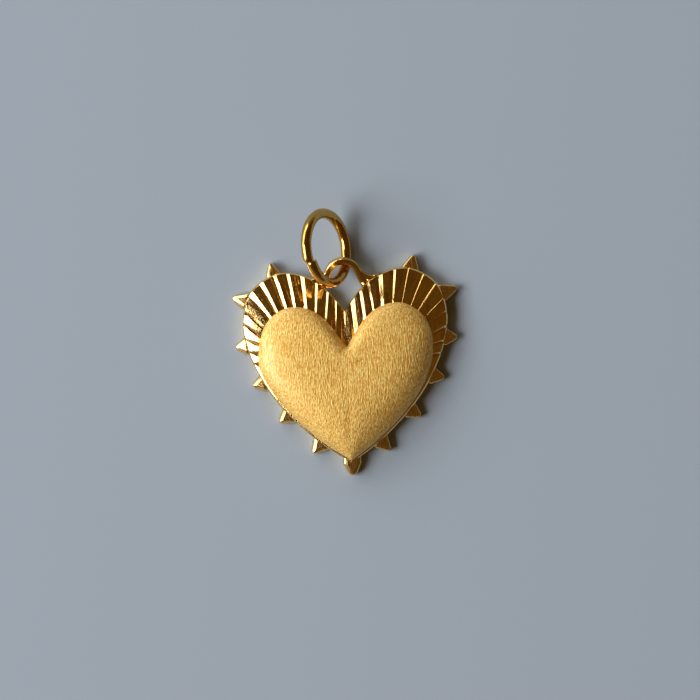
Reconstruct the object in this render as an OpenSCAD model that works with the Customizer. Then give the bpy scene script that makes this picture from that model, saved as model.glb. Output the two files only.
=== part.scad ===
// Heart charm: a puffed heart in a fluted ray collar on a flat back plate,
// with thirteen small points round its edge, a wire eyelet and a loose jump ring.
// It lies on its back, the eyelet towards +Y and the face up. Millimetres.

/* [Heart] */
// Width of the heart across its lobes, without the points
heart_w = 22.9; // [20:0.1:27]
// Height of the heart from its tip to the top of the lobes
heart_h = 21.6; // [19:0.1:25]
// Thickness of the flat back plate
plate_t = 0.8; // [0.5:0.05:1.2]

/* [Ray collar] */
// Height of the collar's rim above the back plate
rim_h = 0.65; // [0.4:0.05:1]
// Rise of the collar from its rim to the domed heart
collar_rise = 0.75; // [0.3:0.05:1.2]
// Number of flutes on each side of the notch
flute_count = 13; // [5:1:20]
// Depth of a flute beside the domed heart
flute_depth = 0.45; // [0.1:0.05:0.6]
// Radius of the rounded outer edge of the rim
rim_round = 0.15; // [0.05:0.01:0.3]

/* [Domed heart] */
// Height of the dome's crown above the collar's highest line
crown_h = 1.55; // [0.8:0.05:3]
// Upright lip with which the dome stands proud of the collar
dome_lip = 0.1; // [0:0.02:0.4]
// Wall of the hollow dome, measured towards its middle
dome_wall = 0.6; // [0.3:0.05:0.9]

/* [Points] */
// Length of a middling point beyond the rim
point_len = 1.4; // [0.8:0.05:2]
// Width of a point at its root
point_w = 2.1; // [1.2:0.05:2.6]
// Height of a point at its root
point_h = 1.15; // [0.6:0.05:1.3]
// Radius of a point's blunt tip
point_tip_r = 0.44; // [0.2:0.01:0.5]

/* [Eyelet] */
// Thickness of the eyelet's wire
bail_wire = 0.8; // [0.6:0.05:1]
// Radius of the eyelet's arch, to the middle of its wire
bail_r = 1.66; // [1.6:0.02:2]
// Depth of the eyelet's feet below the top of the lobes
bail_seat_drop = 2.2; // [1.8:0.05:2.6]
// Reach of the eyelet's peak past the top of the lobes
bail_reach = 1.0; // [0.6:0.05:1.4]
// Thickness of the web that braces each foot of the eyelet
web_t = 0.6; // [0.3:0.05:0.7]
// Radius of the web's hollow outer edge
web_round = 3; // [2:0.1:4]

/* [Jump ring] */
// Radius of the jump ring, to the middle of its wire
ring_r = 3.9; // [3.6:0.05:4.6]
// Thickness of the jump ring's wire
ring_wire = 1.2; // [0.9:0.05:1.3]
// Tilt of the resting ring out of the table's plane, in degrees
ring_tilt = 57; // [50:1:65]
// Gap where the ring's two ends meet
ring_seam = 0.08; // [0.04:0.01:0.2]

/* [Hidden] */

gold = [0.83, 0.62, 0.26];
satin_gold = [0.87, 0.71, 0.43];
round_fn = 64;
// Overrun of every cut past the face it goes through
cut_over = 1;
// Play that keeps the swinging ring off the eyelet, and the ring's gap above the table
ring_play = 0.2;
ring_rest_gap = 0.05;

// Rays from the rim to the domed heart, from the notch round to the tip. A row is the ray's
// rim end x, y and its dome end x, y, as shares of half the heart's width and height.
ray_shares = [
    [0, 0.579, 0, 0.199],
    [0.166, 0.801, 0.192, 0.486],
    [0.380, 0.956, 0.380, 0.619],
    [0.655, 0.991, 0.576, 0.630],
    [0.913, 0.815, 0.738, 0.523],
    [1, 0.505, 0.823, 0.366],
    [0.959, 0.204, 0.845, 0.167],
    [0.860, -0.056, 0.805, -0.056],
    [0.725, -0.301, 0.699, -0.287],
    [0.533, -0.546, 0.515, -0.531],
    [0.279, -0.796, 0.269, -0.776],
    [0, -1, 0, -0.977]
];
rows = len(ray_shares) - 1;
// Row of the table at which the flutes end, on the heart's flank
flute_end_row = 6.5;
row_steps = 8;
side_steps = rows * row_steps;
columns = 2 * side_steps;

rim_z = plate_t + rim_h;
// Collar width at which its rise and its flutes reach their full size
full_width = heart_w * 0.09;
crown_z = rim_z + collar_rise + crown_h;
dome_mid_y = -0.13 * heart_h / 2;

// Smooth curve through four points in a row, between the middle two
function between(a, b, c, d, f) =
    (2 * b + (c - a) * f + (2 * a - 5 * b + 4 * c - d) * f * f + (3 * b - a - 3 * c + d) * f * f * f) / 2;
function ray_row(i) =
    i < 0 ? 2 * ray_shares[0] - ray_shares[1]
    : i > rows ? 2 * ray_shares[rows] - ray_shares[rows - 1]
    : ray_shares[i];
function ray_share(p) =
    let (i = min(floor(p), rows - 1))
    between(ray_row(i - 1), ray_row(i), ray_row(i + 1), ray_row(i + 2), p - i);
function on_heart(x_share, y_share) = [x_share * heart_w / 2, y_share * heart_h / 2];

// Columns run from the notch down the right flank to the tip and back up the left flank
function column_row(k) = min(k, columns - k) / row_steps;
function column_side(k) = k <= side_steps ? 1 : -1;
function side_of(point, side) = [side * point[0], point[1]];
function rim_at(p) = let (s = ray_share(p)) on_heart(s[0], s[1]);
function dome_at(p) = let (s = ray_share(p)) on_heart(s[2], s[3]);
rim_line = [for (k = [0 : columns - 1]) side_of(rim_at(column_row(k)), column_side(k))];
dome_line = [for (k = [0 : columns - 1]) side_of(dome_at(column_row(k)), column_side(k))];

// Height of the collar: it swells up from the rim, and flutes cut into it beside the dome
function width_share(k) = min(1, norm(rim_line[k] - dome_line[k]) / full_width);
function flute_share(p) =
    let (f = p * flute_count / flute_end_row, off = 2 * (f - floor(f)) - 1)
    p < flute_end_row ? 1 - off * off : 0;
function swell_share(t) = 1 - pow(1 - t, 1.6);
function collar_z(k, t) =
    rim_z + width_share(k) * (collar_rise * swell_share(t)
        - flute_depth * flute_share(column_row(k)) * pow(max(0, t - 0.05), 0.8));

// Closed skin from rings of points, each ring with the same number of points
function quad(a, b, c, d) = [[a, b, c], [a, c, d]];
function band(r0, r1, n) =
    [for (k = [0 : n - 1]) each quad(r0 * n + k, r1 * n + k, r1 * n + (k + 1) % n, r0 * n + (k + 1) % n)];
function fan(r, n, apex, up) =
    [for (k = [0 : n - 1]) up ? [r * n + (k + 1) % n, r * n + k, apex] : [r * n + k, r * n + (k + 1) % n, apex]];

module heart_prism(z0, z1) {
    translate([0, 0, z0]) linear_extrude(z1 - z0) polygon(rim_line);
}

// Flat sheet cut to the heart's outline
module back_plate() {
    color(gold) heart_prism(0, plate_t);
}

// Collar of flutes that fan out from the domed heart to the rim
module ray_collar() {
    t_shares = [0.25, 0.5, 0.75, 1];
    rings = [
        [for (k = [0 : columns - 1]) [each rim_line[k], plate_t]],
        [for (k = [0 : columns - 1]) [each rim_line[k], rim_z - rim_round]],
        [for (k = [0 : columns - 1])
            let (in = rim_round / norm(dome_line[k] - rim_line[k]))
            [each rim_line[k] + (dome_line[k] - rim_line[k]) * min(in, t_shares[0] / 2), rim_z]],
        for (t = t_shares) [for (k = [0 : columns - 1])
            [each rim_line[k] + (dome_line[k] - rim_line[k]) * t, collar_z(k, t)]],
        [for (k = [0 : columns - 1]) [each dome_line[k], plate_t]]
    ];
    n = len(rings);
    faces = [for (r = [0 : n - 1]) each band(r, (r + 1) % n, columns)];
    color(gold) polyhedron([for (ring = rings) each ring], faces);
}

// Height of the dome's skin at a share of the way from its middle to its foot line
function lip_z(k) = rim_z + width_share(k) * collar_rise + dome_lip;
function dome_z(k, r) = lip_z(k) + (crown_z - lip_z(k)) * pow(1 - pow(r, 3), 0.6);
function dome_point(k, r, drop) =
    let (mid = [0, dome_mid_y], out = dome_line[k] - mid)
    [each mid + out * r * (1 - drop / norm(out)), dome_z(k, r) - drop];

// Puffed shell, hollow underneath, its foot standing on the back plate
module domed_heart() {
    r_shares = [1, 0.97, 0.91, 0.82, 0.68, 0.48, 0.24];
    under_shares = [0.24, 0.68, 0.97];
    rings = [
        [for (k = [0 : columns - 1]) [each dome_line[k], plate_t]],
        for (r = r_shares) [for (k = [0 : columns - 1]) dome_point(k, r, 0)]
    ];
    under = [
        for (r = under_shares) [for (k = [0 : columns - 1]) dome_point(k, r, dome_wall)],
        [for (k = [0 : columns - 1]) let (q = dome_point(k, 1, dome_wall)) [q[0], q[1], plate_t]]
    ];
    n = len(rings);
    m = len(under);
    crown = (n + m) * columns;
    faces = [
        for (r = [0 : n - 2]) each band(r, r + 1, columns),
        each fan(n - 1, columns, crown, true),
        each fan(n, columns, crown + 1, false),
        for (r = [n : n + m - 2]) each band(r, r + 1, columns),
        each band(n + m - 1, 0, columns)
    ];
    color(satin_gold) polyhedron(
        [for (ring = rings) each ring, for (ring = under) each ring,
         [0, dome_mid_y, crown_z], [0, dome_mid_y, crown_z - dome_wall]],
        faces);
}

// Points, from the lobe's top down each flank: row of the ray table where the point's middle
// leaves the rim, its length as a share of point_len, and the way it points, in degrees
point_places = [[3.03, 1, 75], [4.35, 1.2, 17], [5.8, 0.9, -5], [7.3, 0.97, -13], [8.72, 0.93, -34],
                [9.95, 0.99, -47]];
point_rise = 0.1;
// Height of a point's upright edges as a share of point_h, and how much of its swell above them
// is left where its tip starts to round off
point_edge_share = 0.4;
point_tip_share = 0.7;
// How far a point's root runs in under the rim before it is cut flush with the edge, and how far
// it keeps its full width beyond the rim
point_root = 1.2;
point_neck = 0.07;
tip_steps = 6;

// One cushion-shaped point, lying along +X with the rim at x = 0
module point_body(length, tip_r) {
    side_turn = atan((point_w / 2 - tip_r) / (length - tip_r));
    edge_h = point_edge_share * point_h;
    // A station is its x, its half width and its share of the swell
    stations = [
        [-point_root, point_w / 2, 1],
        [point_neck, point_w / 2, 1],
        for (i = [0 : tip_steps])
            let (turn = side_turn + (90 - side_turn) * i / tip_steps, left = max(0.1, cos(turn)))
            [length - tip_r + tip_r * sin(turn), tip_r * left, point_tip_share * pow(left / cos(side_turn), 0.6)]
    ];
    function section(s) =
        let (x = s[0], w = s[1], swell = (point_h - edge_h) * s[2])
        [[x, -w, 0], [x, w, 0], [x, w, edge_h], [x, 0.6 * w, edge_h + 0.72 * swell], [x, 0, edge_h + swell],
         [x, -0.6 * w, edge_h + 0.72 * swell], [x, -w, edge_h]];
    n = len(section(stations[0]));
    last = len(stations) - 1;
    faces = [
        for (r = [0 : last - 1]) each band(r, r + 1, n),
        [for (k = [n - 1 : -1 : 0]) k],
        [for (k = [0 : n - 1]) last * n + k]
    ];
    polyhedron([for (s = stations) each section(s)], faces);
}

// A point soldered to the edge of plate and collar, its root cut to their outline
module edge_point(place, side, tip_r = point_tip_r) {
    at = side_of(rim_at(place[0]), side);
    color(gold) difference() {
        translate([at[0], at[1], point_rise])
            rotate([0, 0, side > 0 ? place[2] : 180 - place[2]])
                point_body(point_len * place[1], tip_r);
        heart_prism(-cut_over, rim_z + cut_over);
    }
}

// The point below the heart's tip, a broader tongue than the others
module tip_point() {
    edge_point([rows - 0.02, 1, -90], 1, 1.5 * point_tip_r);
}

// Where the jump ring lies: it passes under the eyelet's peak and rests on the table
ring_yaw = 4.5;
cross_angle = 238;
cross_x = bail_r * 0.17;
cross_gap = (ring_wire + bail_wire) / 2 + ring_play;
ring_half_y = ring_r * cos(ring_yaw);
ring_half_z = ring_r * sin(ring_tilt);
cross_out = [cos(cross_angle) / ring_half_y, sin(cross_angle) / ring_half_z];
cross_n = cross_out / norm(cross_out);
bail_peak_y = heart_h / 2 + bail_reach;
ring_y = bail_peak_y - ring_half_y * cos(cross_angle) + cross_gap * cross_n[0];
ring_z = ring_wire / 2 + ring_rest_gap + ring_half_z;
ring_x = cross_x + ring_r * cos(ring_tilt) * cos(ring_yaw) * sin(cross_angle)
    + ring_r * sin(ring_yaw) * cos(cross_angle);
bail_peak_z = ring_z + ring_half_z * sin(cross_angle) - cross_gap * cross_n[1];

// The eyelet leans forward from the rims so that the ring can pass beneath its peak
bail_mid_z = rim_z - 0.1 * plate_t;
bail_lean = asin((bail_peak_z - bail_mid_z) / bail_r);
bail_mid_y = bail_peak_y - bail_r * cos(bail_lean);
bail_splay = 21;
leg_start = bail_r * [cos(bail_splay), sin(bail_splay)];
leg_way = [sin(bail_splay), -cos(bail_splay)];
bail_leg = ((bail_mid_y - heart_h / 2 + bail_seat_drop) / cos(bail_lean) + leg_start[1]) / cos(bail_splay);
leg_end = leg_start + bail_leg * leg_way;

// Flat brace between one leg and the rim, its hollow edge running on from the arch's outer side
module foot_web() {
    web_low = -0.6 * bail_wire;
    hollow_reach = bail_r + bail_wire / 4 + web_round;
    hollow_y = web_low + web_round;
    hollow_mid = [sqrt(hollow_reach * hollow_reach - hollow_y * hollow_y), hollow_y];
    arch_end = hollow_mid * bail_r / hollow_reach;
    translate([0, 0, -web_t / 2]) linear_extrude(web_t) difference() {
        polygon([arch_end, hollow_mid, [hollow_mid[0], leg_end[1]], leg_end, leg_start]);
        translate(hollow_mid) circle(web_round, $fn = 2 * round_fn);
    }
}

// Round wire bent to an arch with two straight legs, its middle line in the plane z = 0
module bent_wire() {
    arch_steps = 18;
    wire_sides = 32;
    // A stop is a point of the middle line and the direction that points out of the bend there
    stops = [
        [[-leg_end[0], leg_end[1]], 180 - bail_splay],
        for (i = [arch_steps : -1 : 0])
            let (a = bail_splay + (180 - 2 * bail_splay) * i / arch_steps)
            [bail_r * [cos(a), sin(a)], a],
        [leg_end, bail_splay]
    ];
    rings = [for (stop = stops) [for (k = [0 : wire_sides - 1])
        let (turn = 360 * k / wire_sides, out = bail_wire / 2 * cos(turn))
        [each stop[0] + out * [cos(stop[1]), sin(stop[1])], bail_wire / 2 * sin(turn)]]];
    last = len(rings) - 1;
    faces = [
        for (r = [0 : last - 1]) each band(r, r + 1, wire_sides),
        [for (k = [wire_sides - 1 : -1 : 0]) k],
        [for (k = [0 : wire_sides - 1]) last * wire_sides + k]
    ];
    polyhedron([for (ring = rings) each ring], faces);
}

// Wire eyelet between the lobes, its braced feet soldered to the two rims
module bail_loop() {
    color(gold) difference() {
        translate([0, bail_mid_y, bail_mid_z]) rotate([bail_lean, 0, 0]) union() {
            bent_wire();
            for (side = [0, 1]) mirror([side, 0, 0]) foot_web();
        }
        heart_prism(-cut_over, crown_z + cut_over);
    }
}

// Round wire ring bent shut, with a butt seam on its raised side
seam_angle = 109;
module jump_ring() {
    seam_share = ring_seam / (2 * PI * ring_r);
    color(gold) translate([ring_x, ring_y, ring_z]) rotate([0, 0, ring_yaw]) rotate([0, ring_tilt, 0])
        rotate([0, 0, 90 + seam_angle]) rotate_extrude(angle = 360 * (1 - seam_share), $fn = round_fn)
            translate([ring_r, 0]) circle(ring_wire / 2, $fn = round_fn);
}

back_plate();
ray_collar();
domed_heart();
bail_loop();
jump_ring();
tip_point();
for (i = [0 : len(point_places) - 1]) {
    edge_point(point_places[i], -1);
    edge_point(point_places[i], 1);
}
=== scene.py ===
import math

import bmesh
import bpy
import numpy as np
from mathutils import Matrix, Vector


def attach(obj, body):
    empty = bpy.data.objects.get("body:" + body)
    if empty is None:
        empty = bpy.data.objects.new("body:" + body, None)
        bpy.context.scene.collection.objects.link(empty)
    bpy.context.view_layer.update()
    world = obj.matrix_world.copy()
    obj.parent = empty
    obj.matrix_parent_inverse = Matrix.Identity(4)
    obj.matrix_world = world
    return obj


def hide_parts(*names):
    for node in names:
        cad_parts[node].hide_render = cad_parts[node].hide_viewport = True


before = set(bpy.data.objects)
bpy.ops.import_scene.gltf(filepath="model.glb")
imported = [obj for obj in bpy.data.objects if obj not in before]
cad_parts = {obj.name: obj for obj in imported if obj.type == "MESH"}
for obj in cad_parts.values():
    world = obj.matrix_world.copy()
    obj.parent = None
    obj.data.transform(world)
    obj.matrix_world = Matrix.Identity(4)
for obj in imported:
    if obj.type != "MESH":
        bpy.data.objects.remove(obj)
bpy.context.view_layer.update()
mm = 0.001


# The table is a plain pale sheet in a cool blue-grey, and the camera looks straight down on it.
# Soft light comes from the left: from a window, as high as the shadows say, and from a pale wall
# beside it. Both show as bright lines in the polished gold.
def add(tree, kind, inputs=None, **settings):
    """A shader node with its settings and its inputs, which are values or other sockets."""
    made = tree.nodes.new("ShaderNode" + kind)
    for key, value in settings.items():
        setattr(made, key, value)
    for socket, value in (inputs or {}).items():
        if isinstance(value, bpy.types.NodeSocket):
            tree.links.new(value, made.inputs[socket])
        else:
            made.inputs[socket].default_value = value
    return made


def material(name):
    made = bpy.data.materials.new(name)
    made.use_nodes = True
    tree = made.node_tree
    tree.nodes.clear()
    shader = add(tree, "BsdfPrincipled")
    add(tree, "OutputMaterial", {"Surface": shader.outputs[0]})
    return made, tree, shader.inputs


def show(name, mesh, finish):
    made = bpy.data.objects.new(name, mesh)
    bpy.context.scene.collection.objects.link(made)
    mesh.materials.append(finish)
    return made


table_half = 0.6
table_z = -0.01 * mm
table_sheet, _, table_inputs = material("table sheet")
table_inputs["Base Color"].default_value = (0.36, 0.43, 0.515, 1)
table_inputs["Roughness"].default_value = 0.85
table_mesh = bpy.data.meshes.new("table")
table_corners = ((-1, -1), (1, -1), (1, 1), (-1, 1))
table_mesh.from_pydata([(x * table_half, y * table_half, table_z) for x, y in table_corners],
                       [], [(0, 1, 2, 3)])
show("table", table_mesh, table_sheet)

view_field = 78.4 * mm
view_height = 1.0
view_x = 0.385 * mm
view_y = 1.824 * mm
view_turn = math.radians(-2.7)
camera = bpy.data.objects.new("camera", bpy.data.cameras.new("camera"))
bpy.context.scene.collection.objects.link(camera)
camera.data.lens = camera.data.sensor_width * view_height / view_field
camera.data.clip_start = 0.05
camera.location = (view_x, view_y, view_height)
camera.rotation_euler = (0, 0, view_turn)
bpy.context.scene.camera = camera

window_far = 1.2


def soft_window(name, height, turn, wide, tall, glow):
    """A lit pane of the room: its height and turn in degrees, its size in metres."""
    height, turn = math.radians(height), math.radians(turn)
    made = bpy.data.objects.new(name, bpy.data.lights.new(name, "AREA"))
    bpy.context.scene.collection.objects.link(made)
    made.data.shape = "RECTANGLE"
    made.data.size = wide
    made.data.size_y = tall
    made.data.energy = glow * math.pi * wide * tall
    level = math.cos(height)
    way = Vector((-level * math.cos(turn), level * math.sin(turn), math.sin(height)))
    made.location = way * window_far
    made.rotation_euler = way.to_track_quat("Z", "Y").to_euler()


soft_window("window", 38, -8, 0.744, 0.648, 9.0)
soft_window("pale_wall", 24, 45, 1.8, 0.48, 3.7)


def maths(tree, operation, *values, clamp=False):
    return add(tree, "Math", dict(enumerate(values)), operation=operation,
               use_clamp=clamp).outputs[0]


def stretched(tree, value, low, high):
    """The value with its stretch from low to high drawn out to 0 to 1."""
    return add(tree, "MapRange", {"Value": value, "From Min": low, "From Max": high}).outputs[0]


def tint(tree, amount, first, second):
    return add(tree, "Mix", {0: amount, 6: first, 7: second}, data_type="RGBA").outputs[2]


# The room is dim and uneven overhead, as the dark flutes show, and paler towards its walls,
# most of all on the window's side
overhead_dark = (0.026, 0.012, 0.002, 1)
overhead_pale = (0.136, 0.072, 0.013, 1)
wall_colour = (1.2, 1.06, 0.85, 1)
wall_fade = 4.0
room = bpy.data.worlds.new("room")
room.use_nodes = True
room_tree = room.node_tree
room_place = add(room_tree, "TexCoord").outputs["Generated"]
room_way = add(room_tree, "SeparateXYZ", {0: room_place}).outputs
walls = maths(room_tree, "POWER", maths(room_tree, "SUBTRACT", 1.0, room_way["Z"]), wall_fade)
lit_side = maths(room_tree, "MULTIPLY_ADD", room_way["X"], -0.55, 0.4)
far_side = maths(room_tree, "MULTIPLY_ADD", room_way["Y"], 0.05, lit_side)
wall_share = maths(room_tree, "MULTIPLY", walls, far_side, clamp=True)
clutter = add(room_tree, "TexNoise", {"Vector": room_place, "Scale": 10.0, "Detail": 1.0})
clutter_share = stretched(room_tree, clutter.outputs["Fac"], 0.35, 0.65)
overhead = tint(room_tree, clutter_share, overhead_dark, overhead_pale)
room_colour = tint(room_tree, wall_share, overhead, wall_colour)
room_tree.links.new(room_colour, room_tree.nodes["Background"].inputs["Color"])
bpy.context.scene.world = room
bpy.context.scene.view_settings.view_transform = "Standard"


# The back plate is flat gold sheet, sawn to the heart's outline and polished on its edge.
# All polished pieces share its finish: slow waves left by hand polishing, hairline scratches,
# and a slightly deeper colour where the plating is thick.
def group(name, sockets):
    tree = bpy.data.node_groups.new(name, "ShaderNodeTree")
    for way, kind, socket in sockets:
        tree.interface.new_socket(socket, in_out=way, socket_type="NodeSocket" + kind)
    return tree, tree.nodes.new("NodeGroupInput").outputs, tree.nodes.new("NodeGroupOutput")


def use(tree, shared, **values):
    made = tree.nodes.new("ShaderNodeGroup")
    made.node_tree = shared
    for socket, value in values.items():
        made.inputs[socket].default_value = value
    return made.outputs


def noise(tree, place, stretch, detail, turn=0.0, rough=0.5):
    """Noise over a place in millimetres, stretch giving its lumps per millimetre each way."""
    mapped = add(tree, "Mapping", {"Vector": place, "Rotation": (0, 0, turn), "Scale": stretch})
    return add(tree, "TexNoise", {"Vector": mapped.outputs[0], "Scale": 1.0, "Detail": detail,
                                  "Roughness": rough}).outputs["Fac"]


def millimetres(tree):
    coords = add(tree, "TexCoord").outputs["Object"]
    return add(tree, "VectorMath", {0: coords, "Scale": 1 / mm}, operation="SCALE").outputs[0]


hairline_fine = 40.0
hand_polish, polish_in, polish_out = group("hand polish", (
    ("INPUT", "Float", "Waves"), ("INPUT", "Float", "Scratches"),
    ("OUTPUT", "Float", "Height"), ("OUTPUT", "Float", "Wear")))
polish_place = millimetres(hand_polish)
waves = noise(hand_polish, polish_place, (0.9, 0.9, 0.9), 1.0)
hairlines = 0.0
for turn, across in ((0.5, 9.0), (-0.9, 7.0), (1.9, 11.0)):
    streak = noise(hand_polish, polish_place, (across, 0.45, 1.0), 0.0, turn)
    near = maths(hand_polish, "ABSOLUTE", maths(hand_polish, "SUBTRACT", streak, 0.5))
    beside = maths(hand_polish, "MULTIPLY", near, hairline_fine)
    hairline = maths(hand_polish, "SUBTRACT", 1.0, beside)
    hairlines = maths(hand_polish, "MAXIMUM", hairline, hairlines)
hand_polish.links.new(hairlines, polish_out.inputs["Wear"])
scratched = maths(hand_polish, "MULTIPLY", hairlines, polish_in["Scratches"])
waved = maths(hand_polish, "MULTIPLY", waves, polish_in["Waves"])
hand_polish.links.new(maths(hand_polish, "SUBTRACT", waved, scratched),
                      polish_out.inputs["Height"])

gold_deep = (0.92, 0.59, 0.19)
gold_pale = (0.97, 0.69, 0.31)
plating_patches = (0.35, 0.35, 0.35)
wear_dull = 0.12


def polished_gold(name, waves_high, scratch_deep, gloss, deep=gold_deep, pale=gold_pale):
    """Polished gold: waves and scratches in millimetres of height, gloss as roughness."""
    made, tree, shader = material(name)
    marks = use(tree, hand_polish, Waves=waves_high, Scratches=scratch_deep)
    plating = noise(tree, millimetres(tree), plating_patches, 3.0)
    tree.links.new(tint(tree, plating, (*deep, 1), (*pale, 1)), shader["Base Color"])
    shader["Metallic"].default_value = 1
    dull = maths(tree, "MULTIPLY", marks["Wear"], wear_dull)
    tree.links.new(maths(tree, "ADD", dull, gloss), shader["Roughness"])
    bump = add(tree, "Bump", {"Height": marks["Height"], "Distance": mm})
    tree.links.new(bump.outputs[0], shader["Normal"])
    return made, tree, shader, bump


plate_gold = polished_gold("plate gold", 0.02, 0.002, 0.16)[0]
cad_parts["back_plate"].material_slots[0].material = plate_gold


# The ray collar is stamped gold sheet that rises from a bevelled rim to the domed heart. Its
# flutes are cut by hand with a gouge, each with a steep wall and a longer rise, and are polished
# to a mirror with fine drag lines along each cut.
heart_w = 22.9
heart_h = 21.6
plate_t = 0.8
rim_z = plate_t + 0.65
collar_rise = 0.75
collar_curve = 1.25
collar_crease = 22
full_width = heart_w * 0.09

# The bevel's distances in from the rim and its drops, and the most of a ray that it takes
rim_bevel = ((0, 0.165), (0.125, 0.016), (0.155, 0))
bevel_w = rim_bevel[-1][0]
bevel_most = 0.5

# Rows of rays from the notch to the tip, right side: the rim end and the dome end of each, as
# shares of the heart's half width and half height
ray_shares = np.array([
    [0, 0.579, 0, 0.199], [0.166, 0.801, 0.192, 0.486], [0.380, 0.956, 0.380, 0.619],
    [0.655, 0.991, 0.576, 0.630], [0.913, 0.815, 0.738, 0.523], [1, 0.505, 0.823, 0.366],
    [0.959, 0.204, 0.845, 0.167], [0.860, -0.056, 0.805, -0.056], [0.725, -0.301, 0.699, -0.287],
    [0.533, -0.546, 0.515, -0.531], [0.279, -0.796, 0.269, -0.776], [0, -1, 0, -0.977]])
rows = len(ray_shares) - 1
row_steps = 32
side_steps = rows * row_steps
columns = 2 * side_steps


def ray_places(line):
    """Rim end and dome end of the rays at these rows, right side, in millimetres."""
    before = 2 * ray_shares[0] - ray_shares[1]
    after = 2 * ray_shares[-1] - ray_shares[-2]
    padded = np.vstack([before, ray_shares, after])
    i = np.minimum(np.floor(line).astype(int), rows - 1)
    f = (line - i)[:, None]
    a, b, c, d = (padded[i + k] for k in range(4))
    share = (2 * b + (c - a) * f + (2 * a - 5 * b + 4 * c - d) * f ** 2
             + (3 * b - a - 3 * c + d) * f ** 3) / 2
    half = np.array([heart_w, heart_h]) / 2
    return share[:, :2] * half, share[:, 2:] * half


def skin(name, rings, rays=None, caps=False, loop=False, unit=mm):
    """Closed skin through rings of points in millimetres, each with as many points."""
    rings = [np.asarray(ring, float) for ring in rings]
    n = len(rings[0])
    faces = []
    for r in range(len(rings) if loop else len(rings) - 1):
        s = (r + 1) % len(rings)
        for k in range(n):
            j = (k + 1) % n
            faces.append((r * n + k, r * n + j, s * n + j, s * n + k))
    if caps:
        faces += [tuple(range(n))[::-1], tuple((len(rings) - 1) * n + k for k in range(n))]
    mesh = bpy.data.meshes.new(name)
    mesh.from_pydata((np.concatenate(rings) * unit).tolist(), [], faces)
    if rays is not None:
        drag = mesh.attributes.new("ray", "FLOAT_VECTOR", "POINT")
        drag.data.foreach_set("vector", np.concatenate(rays).astype(np.float32).ravel())
    return mesh


def smooth(mesh, crease):
    mesh.shade_smooth()
    mesh.set_sharp_from_angle(angle=math.radians(crease))
    return mesh


def at_z(line, z):
    return np.column_stack([line, np.broadcast_to(z, len(line))])


# Each ridge between two flutes: its row at the rim and at the dome, as the gouge wandered; how
# much of the flute its steep wall takes at the rim and at the dome, and how much the rise that
# follows; and how deep the cut is, as a share of the flute's width. Low on the left side the
# cuts are slits at the rim and widen towards the dome.
left_ridges = [
    (0, 0, 0.2, 0.2, 0.36, 0.12), (0.47, 0.48, 0.25, 0.23, 0.36, 0.15),
    (0.91, 0.955, 0.17, 0.15, 0.36, 0.1), (1.43, 1.45, 0.19, 0.19, 0.36, 0.12),
    (2, 1.93, 0.3, 0.25, 0.36, 0.17), (2.53, 2.48, 0.25, 0.22, 0.36, 0.145),
    (2.99, 2.93, 0.3, 0.22, 0.36, 0.1), (3.47, 3.43, 0.32, 0.18, 0.36, 0.1),
    (3.93, 3.84, 0.3, 0.18, 0.36, 0.1), (4.58, 4.45, 0.14, 0.5, 0.08, 0.25),
    (4.97, 4.93, 0.1, 0.5, 0.08, 0.23), (5.53, 5.41, 0.06, 0.46, 0.07, 0.19),
    (6.01, 5.86, 0.05, 0.46, 0.07, 0.19), (6.48, 6.38, 0.04, 0.5, 0.07, 0.2),
    (6.95, 6.9, 0.1, 0.3, 0.1, 0.06)]
right_ridges = [
    (0, 0, 0.3, 0.3, 0.36, 0.1), (0.59, 0.63, 0.34, 0.27, 0.36, 0.1),
    (1.07, 1.06, 0.33, 0.26, 0.36, 0.1), (1.42, 1.53, 0.28, 0.16, 0.36, 0.09),
    (2.02, 2.02, 0.27, 0.27, 0.36, 0.16), (2.52, 2.5, 0.14, 0.12, 0.36, 0.09),
    (2.99, 2.96, 0.07, 0.07, 0.36, 0.1), (3.51, 3.44, 0.07, 0.07, 0.36, 0.1),
    (4, 3.88, 0.1, 0.1, 0.36, 0.1), (4.54, 4.43, 0.08, 0.09, 0.33, 0.11),
    (5.01, 4.94, 0.09, 0.1, 0.28, 0.13), (5.54, 5.49, 0.1, 0.11, 0.26, 0.14),
    (6.04, 5.99, 0.1, 0.11, 0.26, 0.14), (6.5, 6.5, 0.11, 0.12, 0.26, 0.14)]
rise_fade = 0.2

# Columns of a flute, and the shares of them at which its wall and its rise end; then columns of
# the uncut face below the last flute, whose drag lines are spaced as if it had flutes too
flute_steps = 22
wall_end = 0.35
rise_end = 0.82
plain_steps = 112
plain_flutes = 8


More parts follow.
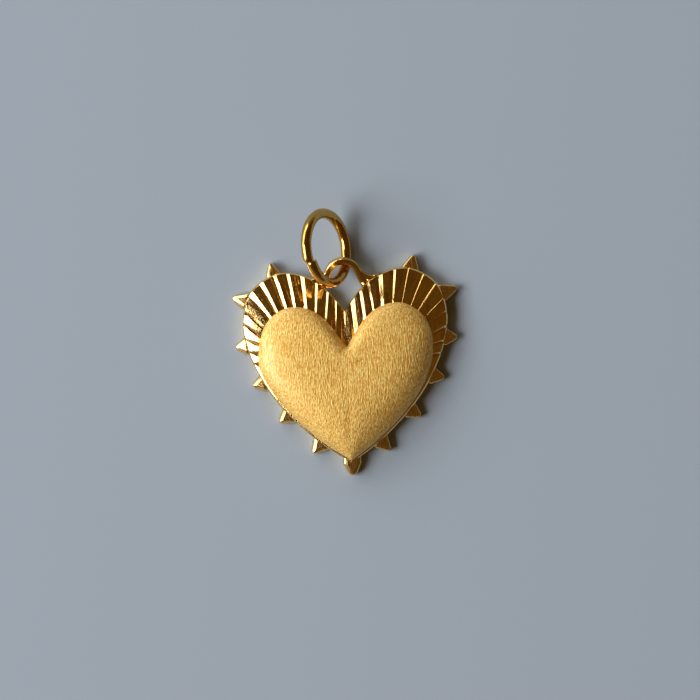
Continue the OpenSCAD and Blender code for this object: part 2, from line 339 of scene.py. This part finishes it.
def lobe_line(ridges, t, side):
    """Rows, flute numbers and depths of one lobe's columns, from the notch to the tip."""
    line = np.array([start + (end - start) * t for start, end, *_ in ridges])
    rim_end, dome_end = ray_places(line)
    places = rim_end + (dome_end - rim_end) * t
    across = np.linalg.norm(np.diff(places, axis=0), axis=1)
    cuts = np.array(ridges)[1:, 2:] if side > 0 else np.array(ridges)[:-1, 2:]
    rim_wall, dome_wall, rise, deep = cuts.T
    wall = rim_wall + (dome_wall - rim_wall) * math.sin(math.pi * t / 2)
    deep = deep * np.minimum(1, wall / dome_wall)
    rise = wall + rise * (1 - rise_fade * t)
    step = np.arange(flute_steps) / flute_steps
    step = 1 - step if side > 0 else step
    stops = [0, wall_end, rise_end, 1]
    share = np.array([np.interp(step, stops, [0, w, r, 1]) for w, r in zip(wall, rise)])
    phase = 1 - share if side > 0 else share
    up = np.clip((step - wall_end) / (rise_end - wall_end), 0, 1)
    hollow = np.minimum(step / wall_end, 0.5 + 0.5 * np.cos(math.pi * up))
    depth = np.outer(across * deep, hollow)
    row = line[:-1, None] + np.diff(line)[:, None] * phase
    number = np.arange(len(across))[:, None] + phase
    plain = np.linspace(0, 1, plain_steps, endpoint=False)
    return np.column_stack([np.append(row, line[-1] + (rows - line[-1]) * plain),
                            np.append(number, len(across) + plain * plain_flutes),
                            np.append(depth, np.zeros(plain_steps))])


def collar_columns(t):
    """Places at the rim and the dome, flute numbers and depths of all columns at share t."""
    right = lobe_line(right_ridges, t, 1)
    left = np.vstack([lobe_line(left_ridges, t, -1), (rows, 0, 0)])[:0:-1]
    row, number, depth = np.vstack([right, left]).T
    side = np.append(np.ones(len(right)), -np.ones(len(left)))
    rim_end, dome_end = ray_places(row)
    flip = side[:, None] ** (1, 2)
    return rim_end * flip, dome_end * flip, number * side, depth


def collar_height(rim_end, dome_end, t):
    share = np.minimum(1, np.linalg.norm(rim_end - dome_end, axis=1) / full_width)
    return rim_z + share * collar_rise * (1 - (1 - t) ** collar_curve)


collar_shares = np.linspace(0.03, 1, 28)
collar_stops = [(0, *bevel) for bevel in rim_bevel] + [(t, bevel_w, 0) for t in collar_shares]
collar_rings = [at_z(collar_columns(0)[0], plate_t)]
for t, inward, drop in collar_stops:
    rim_end, dome_end, _, depth = collar_columns(t)
    inner = dome_end - rim_end
    edge = np.minimum(inward / np.linalg.norm(inner, axis=1), bevel_most * inward / bevel_w)
    share = edge + (1 - edge) * t
    collar_rings.append(at_z(rim_end + inner * share[:, None],
                             collar_height(rim_end, dome_end, share) - depth - drop))
collar_rings.append(at_z(dome_end, plate_t))
collar_rays = []
for t in [0, *(stop[0] for stop in collar_stops), 1]:
    number = collar_columns(t)[2]
    collar_rays.append(np.column_stack([number, np.full(len(number), t), np.zeros(len(number))]))
collar_mesh = skin("fluted_collar", collar_rings, collar_rays, loop=True)
smooth(collar_mesh, collar_crease)

collar_gold, collar_tree, collar_shader, collar_bump = polished_gold(
    "collar gold", 0.008, 0.002, 0.07)
ray_place = add(collar_tree, "Attribute", attribute_name="ray").outputs["Vector"]
drag_lines = noise(collar_tree, ray_place, (14.0, 0.8, 1.0), 2.0)
chatter = noise(collar_tree, ray_place, (1.6, 11.0, 1.0), 1.0)
tool_marks = maths(collar_tree, "ADD", drag_lines, maths(collar_tree, "MULTIPLY", chatter, 0.5))
drag_bump = add(collar_tree, "Bump", {"Height": tool_marks, "Distance": 0.006 * mm,
                                      "Normal": collar_bump.outputs[0]})
collar_tree.links.new(drag_bump.outputs[0], collar_shader["Normal"])
collar = show("fluted_collar", collar_mesh, collar_gold)
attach(collar, "charm")
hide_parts("ray_collar")


# The domed heart is puffed up from thin sheet, a little fuller on its left flank, and stands
# proud of the collar by a small lip. Its satin face is brushed from top to tip over a fine
# grain, and is sealed with clear lacquer.
crown_z = rim_z + collar_rise + 1.55
dome_lip = 0.1
dome_mid = np.array([0, -0.13 * heart_h / 2])
dome_crease = 50
column = np.arange(columns)
row = np.minimum(column, columns - column) / row_steps
column_side = np.where(column <= side_steps, 1, -1)[:, None] ** (1, 2)
rim, dome = (line * column_side for line in ray_places(row))
lip_z = collar_height(rim, dome, 1) + dome_lip

# The fuller flank takes this share of the collar's width, at this row and over so many rows
fuller_share = 0.5
fuller_row = 7
fuller_rows = 0.9
fuller = np.exp(-((row - fuller_row) / fuller_rows) ** 2) * (column > side_steps)
dome = dome + (rim - dome) * (fuller_share * fuller)[:, None]

# The puff rises steeply from the lip and levels out towards the middle, sooner at the tip; the
# outline's corners are lost on the way
puff_level = 3.9
puff_tip = 1.5
puff_steep = 0.6
corner_loss = 45
dome_shares = np.concatenate([1 - np.linspace(0, 0.5, 26) ** 1.7, np.linspace(0.66, 0.04, 22)])
waves_round = np.fft.rfftfreq(columns)[:, None]


def rounded(line, spread):
    """The outline with its corners rounded over spread columns."""
    blur = np.exp(-0.5 * (2 * math.pi * waves_round * spread) ** 2)
    return np.fft.irfft(np.fft.rfft(line, axis=0) * blur, columns, axis=0)


tipward = np.clip(-dome[:, 1] / (heart_h / 2), 0, 1) ** 2
dome_rings = [at_z(dome, plate_t)]
for share in dome_shares:
    puff = (1 - share ** (puff_level - puff_tip * tipward)) ** puff_steep
    line = rounded(dome - dome_mid, corner_loss * (1 - share)) * share + dome_mid
    dome_rings.append(at_z(line, lip_z + (crown_z - lip_z) * puff))
dome_mesh = smooth(skin("satin_dome", dome_rings, caps=True), dome_crease)

# The satin's colour is painted by the grain's height: deeper and more orange in its pits as
# painted shade, paler on its highs as painted sparkle.
satin_pit_shade = (0.75, 0.405, 0.055, 1)
satin_high_sparkle = (1.0, 0.815, 0.32, 1)
satin_gold, satin_tree, satin_shader = material("satin gold")
satin_place = millimetres(satin_tree)
grain = noise(satin_tree, satin_place, (6.5, 3.2, 6.5), 2.0, rough=0.6)
brush_lines = noise(satin_tree, satin_place, (11.0, 0.9, 11.0), 1.5)
satin_height = maths(satin_tree, "ADD", grain, maths(satin_tree, "MULTIPLY", brush_lines, 0.9))
satin_bump = add(satin_tree, "Bump", {"Height": satin_height, "Distance": 0.062 * mm})
satin_tree.links.new(satin_bump.outputs[0], satin_shader["Normal"])
# Share of painted pit shade and painted sparkle, read from the grain's bump height
grain_shade_sparkle_share = stretched(satin_tree, satin_height, 0.76, 1.14)
satin_tree.links.new(tint(satin_tree, grain_shade_sparkle_share, satin_pit_shade, satin_high_sparkle),
                     satin_shader["Base Color"])
satin_shader["Metallic"].default_value = 1
satin_shader["Coat Weight"].default_value = 0.8
satin_shader["Coat Roughness"].default_value = 0.36
satin_rough = maths(satin_tree, "MULTIPLY", brush_lines, 0.16)
satin_tree.links.new(maths(satin_tree, "ADD", satin_rough, 0.63), satin_shader["Roughness"])
satin_dome = show("satin_dome", dome_mesh, satin_gold)
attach(satin_dome, "charm")
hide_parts("domed_heart")


# Thirteen small cast points are soldered round the edge, six down each side and a broad tongue
# at the tip. Each is a blunt cushion with upright sides and a sloping roof, cut flush to the
# rim's outline.
point_len = 1.4
point_w = 2.1
point_h = 1.15
point_tip_r = 0.44
point_root = 1.2
point_neck = 0.07
point_rise = 0.1
point_edge = 0.4 * point_h
point_round = 0.2
point_slope_w = 0.5
point_crease = 40
tip_steps = 15
tip_least = 0.04
neck_steps = 8
section_turns = np.linspace(0, math.pi, 29)

# Each point, from the notch to the tip: its row on the rim, its length and width as shares of
# the full ones, its angle in degrees, its crown's fall to the tip in millimetres, and how much
# of its roof slopes instead of bending over at once
point_places = {
    -1: [(3.09, 0.97, 0.8, 77, 0.1, 0.2), (4.33, 1.11, 0.92, 17, 0.34, 0.4),
         (5.8, 0.86, 0.97, -5, 0.42, 0.4), (7.3, 0.9, 0.97, -13, 0.25, 0.5),
         (8.72, 0.92, 0.98, -34, 0.12, 0.5), (9.95, 0.99, 1, -47, 0.2, 0.45)],
    1: [(3.03, 1.05, 0.92, 75, 0.15, 0.12), (4.35, 1.2, 1, 17, 0.25, 0.18),
        (5.8, 0.92, 1, -5, 0.25, 0.18), (7.3, 1, 1, -13, 0.25, 0.18),
        (8.72, 0.98, 1, -34, 0.25, 0.18), (9.95, 1.03, 1, -47, 0.2, 0.18)]}
tongue_place = (rows - 0.02, 1, 1, -90, 0.3, 0.2)
tongue_tip_r = 1.5 * point_tip_r
point_gold = polished_gold("point gold", 0.035, 0.001, 0.2)[0]
rim_block_mesh = skin("rim_block", [at_z(rim, -1), at_z(rim, crown_z)], caps=True)
rim_block = show("rim_block", rim_block_mesh, point_gold)


def applied(made):
    """The mesh that an object's modifiers give it, in place of its own."""
    seen = made.evaluated_get(bpy.context.evaluated_depsgraph_get())
    mesh = bpy.data.meshes.new_from_object(seen)
    made.modifiers.clear()
    made.data = mesh
    return mesh


def cut_to_rim(made):
    trim = made.modifiers.new("trim", "BOOLEAN")
    trim.object = rim_block
    trim.operation = "DIFFERENCE"
    trim.solver = "EXACT"
    return applied(made)


def cushion_rings(length, half, tip_r, fall, slope):
    """Sections of a point, from its root inside the rim to its round tip."""
    side_turn = math.atan((half - tip_r) / (length - tip_r))
    root, neck = (-point_root, half), (point_neck, half)
    tip = [(length - tip_r + tip_r * math.sin(turn), tip_r * max(tip_least, math.cos(turn)))
           for turn in np.linspace(side_turn, math.pi / 2, tip_steps)]
    flank = [tuple(a + (b - a) * i / neck_steps for a, b in zip(neck, tip[0]))
             for i in range(1, neck_steps)]
    for x, w in [root, neck, *flank, *tip]:
        crown = point_h - fall * max(0, x) / length - point_edge
        ring = [(x, -w, 0)]
        for turn in section_turns:
            inward = w * (1 - abs(math.cos(turn)))
            bend = math.sqrt(1 - (1 - min(1, inward / point_round)) ** 2)
            roof = (1 - slope) * bend + slope * min(1, inward / point_slope_w)
            ring.append((x, -w * math.cos(turn), point_edge + crown * roof))
        yield ring + [(x, w, 0)]


def soldered_point(name, node, place, side, tip_r):
    row, length_share, width_share, angle, fall, slope = place
    at = Vector((*(ray_places(np.array([row]))[0][0] * (side, 1)), point_rise))
    length, half = point_len * length_share, width_share * point_w / 2
    mesh = skin(name, cushion_rings(length, half, tip_r, fall, slope), caps=True)
    turn = math.radians(angle if side > 0 else 180 - angle)
    mesh.transform(Matrix.Translation(at * mm) @ Matrix.Rotation(turn, 4, "Z"))
    made = show(name, mesh, point_gold)
    smooth(cut_to_rim(made), point_crease)
    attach(made, "charm")
    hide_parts(node)


for side, word in ((-1, "left"), (1, "right")):
    for i, place in enumerate(point_places[side], 1):
        soldered_point(f"{word}_cushion_{i}", f"{word}_point_{i}", place, side,
                       point_tip_r * place[2])
soldered_point("tip_tongue", "tip_point", tongue_place, 1, tongue_tip_r)


# The eyelet is wire bent to an arch that leans forward, its two straight legs braced by flat
# webs. Solder has drawn into the corners, so wire, webs and solder run into each other.
bail_wire = 0.8
bail_square = 0.55
bail_r = 1.66
bail_seat_drop = 2.2
bail_reach = 1.0
bail_splay = math.radians(21)
bail_crease = 40
web_t = 0.6
web_round = 3

# The jump ring hangs with a little play in the arch, at this angle round itself and this far
# to the side, and rests on the table; the arch leans as far as that asks
ring_r = 3.9
ring_wire = 1.2
ring_tilt = math.radians(57)
ring_yaw = math.radians(4.5)
ring_play = 0.2
ring_rest_gap = 0.05
cross_angle = math.radians(238)
cross_x = bail_r * 0.17
cross_gap = (ring_wire + bail_wire) / 2 + ring_play
ring_half_y = ring_r * math.cos(ring_yaw)
ring_half_z = ring_r * math.sin(ring_tilt)
cross_n = Vector((math.cos(cross_angle) / ring_half_y,
                  math.sin(cross_angle) / ring_half_z)).normalized()
bail_peak_y = heart_h / 2 + bail_reach
ring_mid = Vector((
    cross_x + ring_r * math.cos(ring_tilt) * math.cos(ring_yaw) * math.sin(cross_angle)
    + ring_r * math.sin(ring_yaw) * math.cos(cross_angle),
    bail_peak_y - ring_half_y * math.cos(cross_angle) + cross_gap * cross_n[0],
    ring_wire / 2 + ring_rest_gap + ring_half_z))
bail_peak_z = ring_mid[2] + ring_half_z * math.sin(cross_angle) - cross_gap * cross_n[1]
bail_mid_z = rim_z - 0.1 * plate_t
bail_lean = math.asin((bail_peak_z - bail_mid_z) / bail_r)
bail_mid_y = bail_peak_y - bail_r * math.cos(bail_lean)
leg_out = np.array([math.cos(bail_splay), math.sin(bail_splay)])
leg_start = bail_r * leg_out
leg_drop = (bail_mid_y - heart_h / 2 + bail_seat_drop) / math.cos(bail_lean) + leg_start[1]
leg_end = leg_start + leg_drop / math.cos(bail_splay) * np.array([leg_out[1], -leg_out[0]])


def tube(stops, thick, sides, square):
    """Rings round a flat path; a stop is a point and the direction out of the bend there. The
    section is round at square 1 and flatter on its four sides below that."""
    turns = np.linspace(0, 2 * math.pi, sides, endpoint=False)
    round_section = np.cos(turns), np.sin(turns)
    wide, high = (thick / 2 * np.sign(way) * np.abs(way) ** square for way in round_section)
    for (x, y), out in stops:
        yield np.column_stack([x + wide * math.cos(out), y + wide * math.sin(out), high])


arch = np.linspace(math.pi - bail_splay, bail_splay, 40)
wire_stops = [((-leg_end[0], leg_end[1]), math.pi - bail_splay)]
wire_stops += [((bail_r * math.cos(a), bail_r * math.sin(a)), a) for a in arch]
wire_stops += [(tuple(leg_end), bail_splay)]
eyelet_meshes = [skin("wire", tube(wire_stops, bail_wire, 32, bail_square), caps=True, unit=1)]
hollow_reach = bail_r + bail_wire / 4 + web_round
hollow_y = web_round - 0.6 * bail_wire
hollow_mid = np.array([math.sqrt(hollow_reach ** 2 - hollow_y ** 2), hollow_y])
arch_turn = math.atan2(hollow_mid[1], hollow_mid[0])
hollow = [hollow_mid - web_round * np.array([math.cos(a), math.sin(a)])
          for a in np.linspace(arch_turn, math.pi / 2, 20)]
web_outline = np.array([leg_start, leg_end, (hollow_mid[0], leg_end[1])] + hollow[::-1])
for side in (-1, 1):
    web = [at_z(web_outline[::side] * (side, 1), z) for z in (-web_t / 2, web_t / 2)]
    eyelet_meshes.append(skin("web", web, caps=True, unit=1))
bail_place = Matrix.Translation((0, bail_mid_y, bail_mid_z)) @ Matrix.Rotation(bail_lean, 4, "X")
for mesh in eyelet_meshes:
    mesh.transform(bail_place)


def blob(middle, size):
    """A round drop of solder, its half sizes given each way."""
    turns = np.linspace(0, 2 * math.pi, 16, endpoint=False)
    for rise in np.linspace(-0.48 * math.pi, 0.48 * math.pi, 9):
        level = np.column_stack([np.cos(turns), np.sin(turns)]) * math.cos(rise)
        yield at_z(level, math.sin(rise)) * size + middle


solder_drops = [
    ((2.45, 9.15, 0.85), (0.55, 0.45, 0.5)), ((3.0, 9.6, 0.95), (0.6, 0.4, 0.42)),
    ((3.55, 9.95, 1.0), (0.4, 0.25, 0.32)), ((-2.45, 9.2, 0.8), (0.5, 0.42, 0.5)),
    ((-3.1, 9.7, 0.95), (0.55, 0.35, 0.36))]
for middle, size in solder_drops:
    eyelet_meshes.append(skin("solder", blob(middle, size), caps=True, unit=1))


def melted(name, meshes, finish, voxel, rounds):
    """One skin over meshes that run into each other, in millimetres, with its corners filled."""
    pool = bmesh.new()
    for mesh in meshes:
        pool.from_mesh(mesh)
    bmesh.ops.recalc_face_normals(pool, faces=pool.faces)
    joined = bpy.data.meshes.new(name)
    pool.to_mesh(joined)
    pool.free()
    made = show(name, joined, finish)
    melt = made.modifiers.new("melt", "REMESH")
    melt.mode = "VOXEL"
    melt.voxel_size = voxel
    soften = made.modifiers.new("soften", "SMOOTH")
    soften.factor = 0.5
    soften.iterations = rounds
    applied(made).transform(Matrix.Scale(mm, 4))
    return made


eyelet_deep = (0.80, 0.49, 0.13)
eyelet_pale = (0.88, 0.59, 0.22)
eyelet_gold = polished_gold("eyelet gold", 0.02, 0.001, 0.12, eyelet_deep, eyelet_pale)[0]
eyelet = melted("soldered_eyelet", eyelet_meshes, eyelet_gold, 0.05, 8)
smooth(cut_to_rim(eyelet), bail_crease)
bpy.data.objects.remove(rim_block)
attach(eyelet, "charm")
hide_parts("bail_loop")


# The jump ring is one turn of thicker round wire, sawn from a coil and bent shut by hand. Its
# cut ends meet a little out of line, its gold is deeper than the charm's, and it hangs loose in
# the eyelet.
seam_angle = math.radians(109)
ring_seam = 0.08
seam_step = 0.34
end_round = 0.06
wire_uneven = 0.015
uneven_times = 5
ring_crease = 40
ring_turns = np.linspace(0, 2 * math.pi - ring_seam / ring_r, 241)
wire_turns = np.linspace(0, 2 * math.pi, 40, endpoint=False)
ring_rings = []
for turn in ring_turns:
    share = turn / ring_turns[-1]
    end_share = min(1, ring_r * min(turn, ring_turns[-1] - turn) / end_round)
    thinner = wire_uneven * (1 - math.sin(uneven_times * turn + 1))
    half = ring_wire / 2 * (1 - thinner) - end_round * (1 - end_share) ** 2
    out = ring_r + half * np.cos(wire_turns)
    ring_rings.append(np.column_stack([out * math.cos(turn), out * math.sin(turn),
                                       half * np.sin(wire_turns) + seam_step * (0.5 - share)]))
ring_mesh = smooth(skin("jump_ring_wire", ring_rings, caps=True), ring_crease)
ring_lie = Matrix.Rotation(ring_yaw, 4, "Z") @ Matrix.Rotation(ring_tilt, 4, "Y")
ring_mesh.transform(Matrix.Translation(ring_mid * mm) @ ring_lie
                    @ Matrix.Rotation(math.pi / 2 + seam_angle, 4, "Z"))
ring_deep = (0.56, 0.32, 0.065)
ring_pale = (0.66, 0.40, 0.10)
ring_gold = polished_gold("ring gold", 0.05, 0.001, 0.11, ring_deep, ring_pale)[0]
jump_ring = show("jump_ring_wire", ring_mesh, ring_gold)
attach(jump_ring, "ring")
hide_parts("jump_ring")
